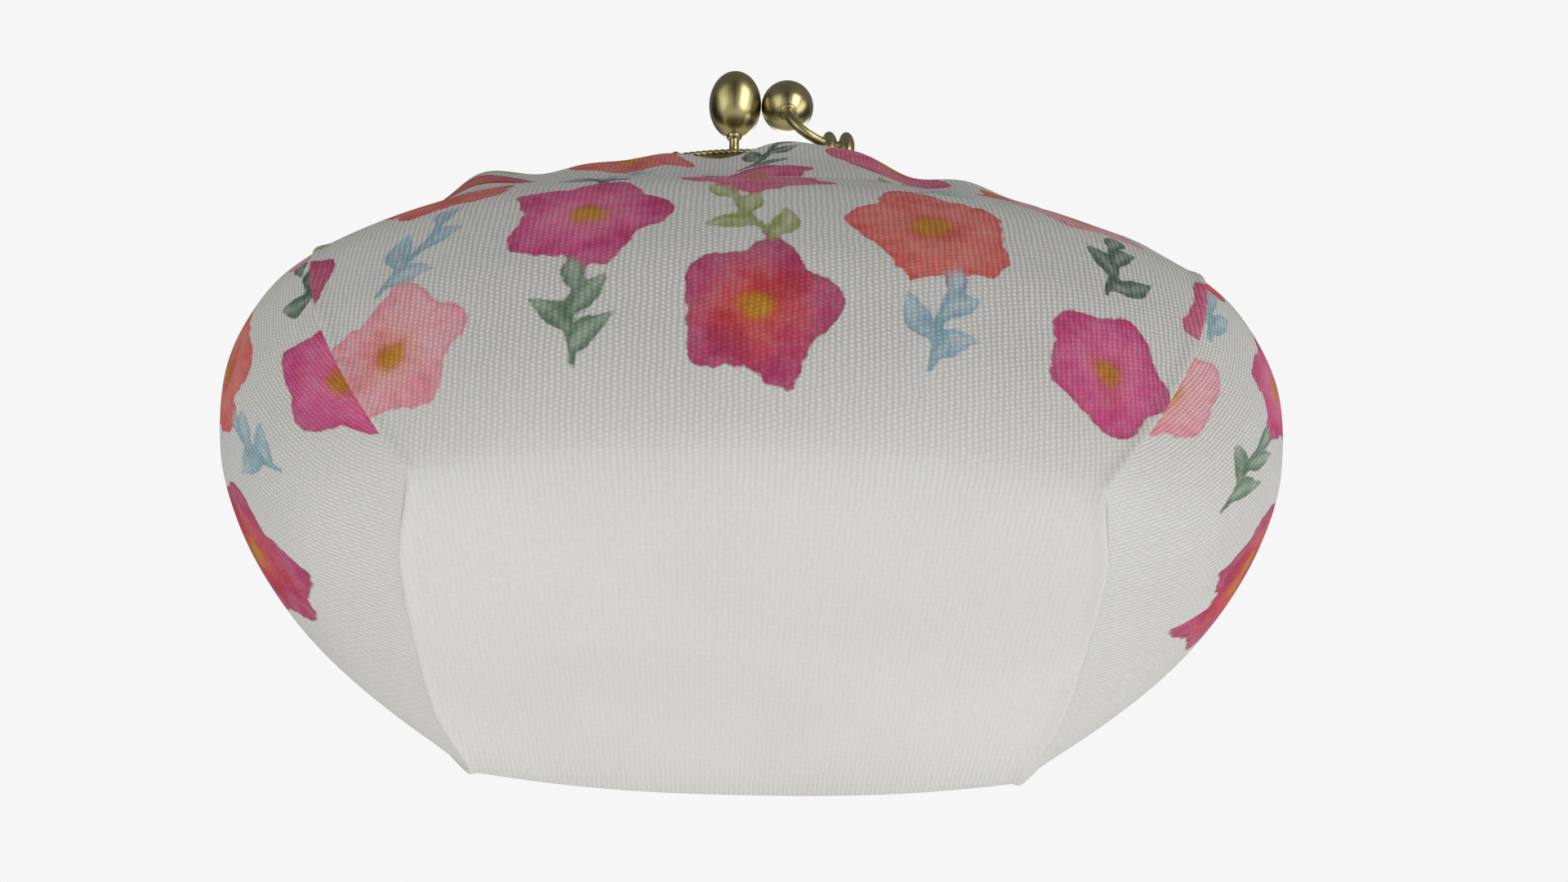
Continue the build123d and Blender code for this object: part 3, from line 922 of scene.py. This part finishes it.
def channel_profile():
    """Closed outline of the channel's wall as (radius, y): a U open towards the hinge."""
    outer, inner = [], []
    for centre_y, start in ((CHANNEL_FRONT + 1.2, 270), (CHANNEL_BACK - 1.2, 0)):
        for k in range(7):
            turn = math.radians(start + 15 * k)
            outer.append((FRAME_R - 1.2 + 1.2 * math.cos(turn), centre_y + 1.2 * math.sin(turn)))
            inner.append((FRAME_R - 1.2 + 0.7 * math.cos(turn), centre_y + 0.7 * math.sin(turn)))
    low = FRAME_R - CHANNEL_WIDTH
    front_lip = [(low + 0.25, CHANNEL_FRONT + WALL), (low + 0.02, CHANNEL_FRONT + 0.36),
                 (low + 0.02, CHANNEL_FRONT + 0.14), (low + 0.25, CHANNEL_FRONT)]
    back_lip = [(low + 0.25, CHANNEL_BACK), (low + 0.02, CHANNEL_BACK - 0.14),
                (low + 0.02, CHANNEL_BACK - 0.36), (low + 0.25, CHANNEL_BACK - WALL)]
    return front_lip + outer + back_lip + inner[::-1]


def channel_part():
    """The channel's arch."""
    profile = channel_profile()
    rings = []
    for t in np.radians(np.linspace(START_ANGLE, 180.0 - START_ANGLE, 161)):
        rings.append([(r * math.cos(t), y, HINGE_Z + r * math.sin(t)) for r, y in profile])
    return loft(rings)


def ear_part(x_low, x_high):
    """Flat hinge ear with rounded rims and a neck that rises into the channel."""
    radius = 3.2
    lower = [(radius * math.cos(a), HINGE_Z + radius * math.sin(a))
             for a in np.radians(np.linspace(40, -200, 31))]
    neck = [(CHANNEL_FRONT + 0.55, HINGE_Z + 3.6), (CHANNEL_FRONT + 0.55, HINGE_Z + 6.6),
            (CHANNEL_BACK - 0.55, HINGE_Z + 6.6), (CHANNEL_BACK - 0.2, HINGE_Z + 4.2)]
    ring = lower + neck
    rows = []
    for x, shrink in ((x_low, 0.12), (x_low + 0.12, 0.0), (x_high - 0.12, 0.0), (x_high, 0.12)):
        middle_y = sum(p[0] for p in ring) / len(ring)
        middle_z = sum(p[1] for p in ring) / len(ring)
        scale = 1.0 - shrink / radius
        rows.append([(x, middle_y + (y - middle_y) * scale, middle_z + (z - middle_z) * scale)
                     for y, z in ring])
    return loft(rows)


def turned_part(part, mirror):
    """A part of the front frame, or the same part half a turn about Z for the back frame."""
    vertices, faces = part
    return [(v[0] * mirror, v[1] * mirror, v[2]) for v in vertices], faces


def metal_piece(name, parts, mirror, material, slot, body, *nodes):
    """Joins parts, dresses them and lets them ride on their body in place of the CAD nodes."""
    piece = joined_mesh(name, [turned_part(part, mirror) for part in parts])
    dress(piece, material)
    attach(piece, body)
    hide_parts(*nodes)
    return piece


BALL_AT = Vector((4.1, 0.0, 104.0))         # centre of the front clasp ball
BALL_LEAN = math.radians(28.0)              # lean of a ball over the other half of the frame
BALL_HALF_LENGTH, BALL_RADIUS = 5.5, 4.08
ARM_RADIUS, ROOT_RADIUS = 0.75, 0.7
INNER_FOOT_X, OUTER_FOOT_X = 10.3, 12.9     # where the feet of an arm enter the channel
FOOT_TOP, FOOT_MIDDLE = 90.6, 88.0          # heights along a foot
BEAD_Z, BEAD_HALF_LENGTH, BEAD_RADIUS = 91.1, 3.0, 1.2
RIM_RADIUS, RIM_TURNS = 0.42, 46
CORD_RING, CORD_RADIUS, CORD_TURNS = 41.55, 0.95, 16


def build_frames():
    """Both halves of the metal frame with their clasp balls, arms and beads."""
    ball_axis = Vector((0.0, math.sin(BALL_LEAN), math.cos(BALL_LEAN)))
    foot = BALL_AT - ball_axis * 5.55
    arm_line = rounded([BALL_AT - ball_axis * 4.6, foot, (4.15, -4.1, 95.9), (4.9, -4.6, 93.2),
                        (7.2, -3.8, 91.3),
                        (INNER_FOOT_X, CHANNEL_Y, 91.0), (OUTER_FOOT_X - 0.3, CHANNEL_Y, 91.0)], 10)
    roots = [rounded([(x, CHANNEL_Y, z) for z in (FOOT_TOP, FOOT_MIDDLE, low)], 6)
             for x, low in ((INNER_FOOT_X, 84.6), (OUTER_FOOT_X, 83.8))]
    rim = arc_path(FRAME_R - 0.25, CHANNEL_FRONT + 0.15, START_ANGLE + 1.0, 179.0 - START_ANGLE, 900)
    cord = arc_path(CORD_RING, CHANNEL_Y, 11.5, 168.5, 500)
    collar = [(-0.55, 0.75), (-0.5, 1.0), (-0.3, 1.15), (0.0, 1.2), (0.3, 1.15), (0.5, 1.05), (0.6, 0.9)]
    beads = [revolve(egg(BEAD_HALF_LENGTH, BEAD_RADIUS), (x, CHANNEL_Y, BEAD_Z), (0, 0, 1), 32)
             for x in (INNER_FOOT_X, OUTER_FOOT_X)]
    antique, polished = (BRONZE, "antique_bronze"), (BALL_BRONZE, "polished_bronze")
    pieces = (
        ("_channel_bronze", [channel_part(), ear_part(41.9, 42.5), ear_part(-43.3, -42.7)], *antique,
         "_frame_channel"),
        ("_milled_rim", [tube(rim, RIM_RADIUS, 12, 2 * math.pi * RIM_TURNS, 3, 0.30)], *antique),
        ("_cord_paper", [tube(cord, CORD_RADIUS, 14, 2 * math.pi * CORD_TURNS, 2, 0.22)], PAPER, "paper_cord",
         "_paper_cord"),
        ("_ball_bronze", [revolve(egg(BALL_HALF_LENGTH, BALL_RADIUS), BALL_AT, ball_axis, 64)], *polished,
         "_clasp_ball"),
        ("_collar_bronze", [revolve(collar, foot + ball_axis * 0.1, ball_axis)], *antique, "_clasp_collar"),
        ("_arm_bronze", [tube(arm_line, ARM_RADIUS), *(tube(root, ROOT_RADIUS) for root in roots)], *antique,
         "_clasp_arm"),
        ("_beads_bronze", beads, BALL_BRONZE, "antique_bronze", "_clasp_foot_beads"),
    )
    for side, mirror in (("front", 1), ("back", -1)):
        for name, parts, material, slot, *nodes in pieces:
            replaced = [side + node for node in nodes]
            metal_piece(side + name, parts, mirror, material, slot, side + "_frame", *replaced)


def build_rivets():
    """Domed rivets through the hinge ears."""
    profile = [(-2.35, 0.01), (-2.3, 0.5), (-2.1, 1.1), (-1.85, 1.55), (-1.6, 1.8),
               (-1.4, 1.88), (-1.3, 1.7), (-1.3, 1.0), (0.75, 1.0), (0.75, 1.7),
               (0.85, 1.88), (1.1, 1.8), (1.3, 1.5), (1.45, 0.9), (1.5, 0.01)]
    for side, sign in (("left", -1), ("right", 1)):
        profile_out = [(-along, radius) for along, radius in profile]
        part = revolve(profile_out, (sign * 42.6, 0.0, HINGE_Z), (sign, 0, 0), 40)
        metal_piece(side + "_rivet_bronze", [part], 1, BRONZE, "antique_bronze", "bag", "hinge_rivet_" + side)


build_panels()
build_gussets()
build_frames()
build_rivets()
board = frame["nodes"]["base_board"]
dress(board, BOARD)

# ---- camera, light and floor ---------------------------------------------------------
CAMERA_PLACE = (-0.0020, -0.1386, -0.0983)
CAMERA_RISE, CAMERA_TURN = 43.2, 2.3        # degrees upwards and to the right
FLOOR_Z = -0.35
scene = bpy.context.scene
scene.view_settings.view_transform = "Standard"
camera_data = bpy.data.cameras.new("camera")
camera_data.lens = 35.0
camera_data.sensor_width = 36.0
camera_data.clip_start = 0.005
camera = bpy.data.objects.new("camera", camera_data)
camera.location = CAMERA_PLACE
camera.rotation_euler = (math.radians(90.0 + CAMERA_RISE), 0.0, math.radians(-CAMERA_TURN))
scene.collection.objects.link(camera)
scene.camera = camera


def softbox(name, place, target, size, power):
    """Rectangular studio light aimed at a point."""
    light = bpy.data.lights.new(name, "AREA")
    light.shape = "RECTANGLE"
    light.size, light.size_y = size
    light.energy = power
    lamp = bpy.data.objects.new(name, light)
    lamp.location = place
    lamp.rotation_euler = (Vector(target) - Vector(place)).to_track_quat("-Z", "Y").to_euler()
    scene.collection.objects.link(lamp)


def studio_world():
    """Pale studio: near white where the camera looks, softer from above for everything else."""
    world = bpy.data.worlds.new("studio")
    world.use_nodes = True
    scene.world = world
    tree = world.node_tree
    tree.nodes.clear()
    output = tree.nodes.new("ShaderNodeOutputWorld")
    split = tree.nodes.new("ShaderNodeMixShader")
    rays = tree.nodes.new("ShaderNodeLightPath")
    seen = tree.nodes.new("ShaderNodeBackground")
    seen.inputs["Color"].default_value = (0.925, 0.925, 0.925, 1.0)
    lit = tree.nodes.new("ShaderNodeBackground")
    place = tree.nodes.new("ShaderNodeTexCoord")
    height = tree.nodes.new("ShaderNodeSeparateXYZ")
    fall = tree.nodes.new("ShaderNodeMapRange")
    fall.interpolation_type = "SMOOTHSTEP"
    for key, value in (("From Min", -0.22), ("From Max", 0.22), ("To Min", 0.95), ("To Max", 0.26)):
        fall.inputs[key].default_value = value
    tree.links.new(place.outputs["Generated"], height.inputs[0])
    tree.links.new(height.outputs["Z"], fall.inputs["Value"])
    tree.links.new(fall.outputs["Result"], lit.inputs["Strength"])
    tree.links.new(rays.outputs["Is Camera Ray"], split.inputs[0])
    tree.links.new(lit.outputs[0], split.inputs[1])
    tree.links.new(seen.outputs[0], split.inputs[2])
    tree.links.new(split.outputs[0], output.inputs["Surface"])


studio_world()
softbox("left_softbox", (-0.42, -0.30, 0.10), (0, 0, 0.06), (0.22, 0.5), 0.5)
softbox("right_softbox", (0.45, -0.10, 0.02), (0, 0, 0.05), (0.2, 0.5), 0.7)
softbox("back_softbox", (0.1, 0.5, 0.35), (0, 0, 0.08), (0.5, 0.25), 1.5)


def reflection_card(name, start, end, low, high, glow, lean=0.0):
    """Card that only the metal reflects: black, or bright when it glows."""
    corners = [(*start, low), (*end, low), (end[0], end[1] + lean, high), (start[0], start[1] + lean, high)]
    mesh = bpy.data.meshes.new(name)
    mesh.from_pydata(corners, [], [(0, 1, 2, 3)])
    card = bpy.data.objects.new(name, mesh)
    nodes = Nodes(name)
    nodes.shader.inputs["Base Color"].default_value = (0.01, 0.01, 0.01, 1.0)
    nodes.shader.inputs["Specular IOR Level"].default_value = 0.0
    nodes.shader.inputs["Emission Color"].default_value = (1.0, 1.0, 1.0, 1.0)
    nodes.shader.inputs["Emission Strength"].default_value = glow
    mesh.materials.append(nodes.material)
    scene.collection.objects.link(card)
    card.visible_camera = False
    card.visible_diffuse = False
    card.visible_shadow = False


reflection_card("middle_flag", (-0.10, -0.60), (0.06, -0.60), -0.34, 0.5, 0.0, lean=0.05)
reflection_card("left_flag", (-0.6, -0.1), (-0.6, 0.3), -0.34, 0.5, 0.0)
reflection_card("right_flag", (0.6, 0.0), (0.6, 0.4), -0.34, 0.5, 0.0)
reflection_card("left_glow", (-0.42, -0.42), (-0.28, -0.50), -0.1, 0.35, 1.6)
reflection_card("right_glow", (0.22, -0.50), (0.46, -0.34), -0.2, 0.35, 6.0)

floor_mesh = bpy.data.meshes.new("floor")
floor_corners = [(x, y, FLOOR_Z) for x, y in ((-4, -4), (4, -4), (4, 4), (-4, 4))]
floor_mesh.from_pydata(floor_corners, [], [(0, 1, 2, 3)])
floor = bpy.data.objects.new("floor", floor_mesh)
floor_nodes = Nodes("pale_floor")
floor_nodes.shader.inputs["Base Color"].default_value = (0.86, 0.86, 0.86, 1.0)
floor_nodes.shader.inputs["Roughness"].default_value = 0.8
floor_nodes.shader.inputs["Emission Color"].default_value = (1.0, 1.0, 1.0, 1.0)
floor_nodes.shader.inputs["Emission Strength"].default_value = 0.56
floor_mesh.materials.append(floor_nodes.material)
scene.collection.objects.link(floor)
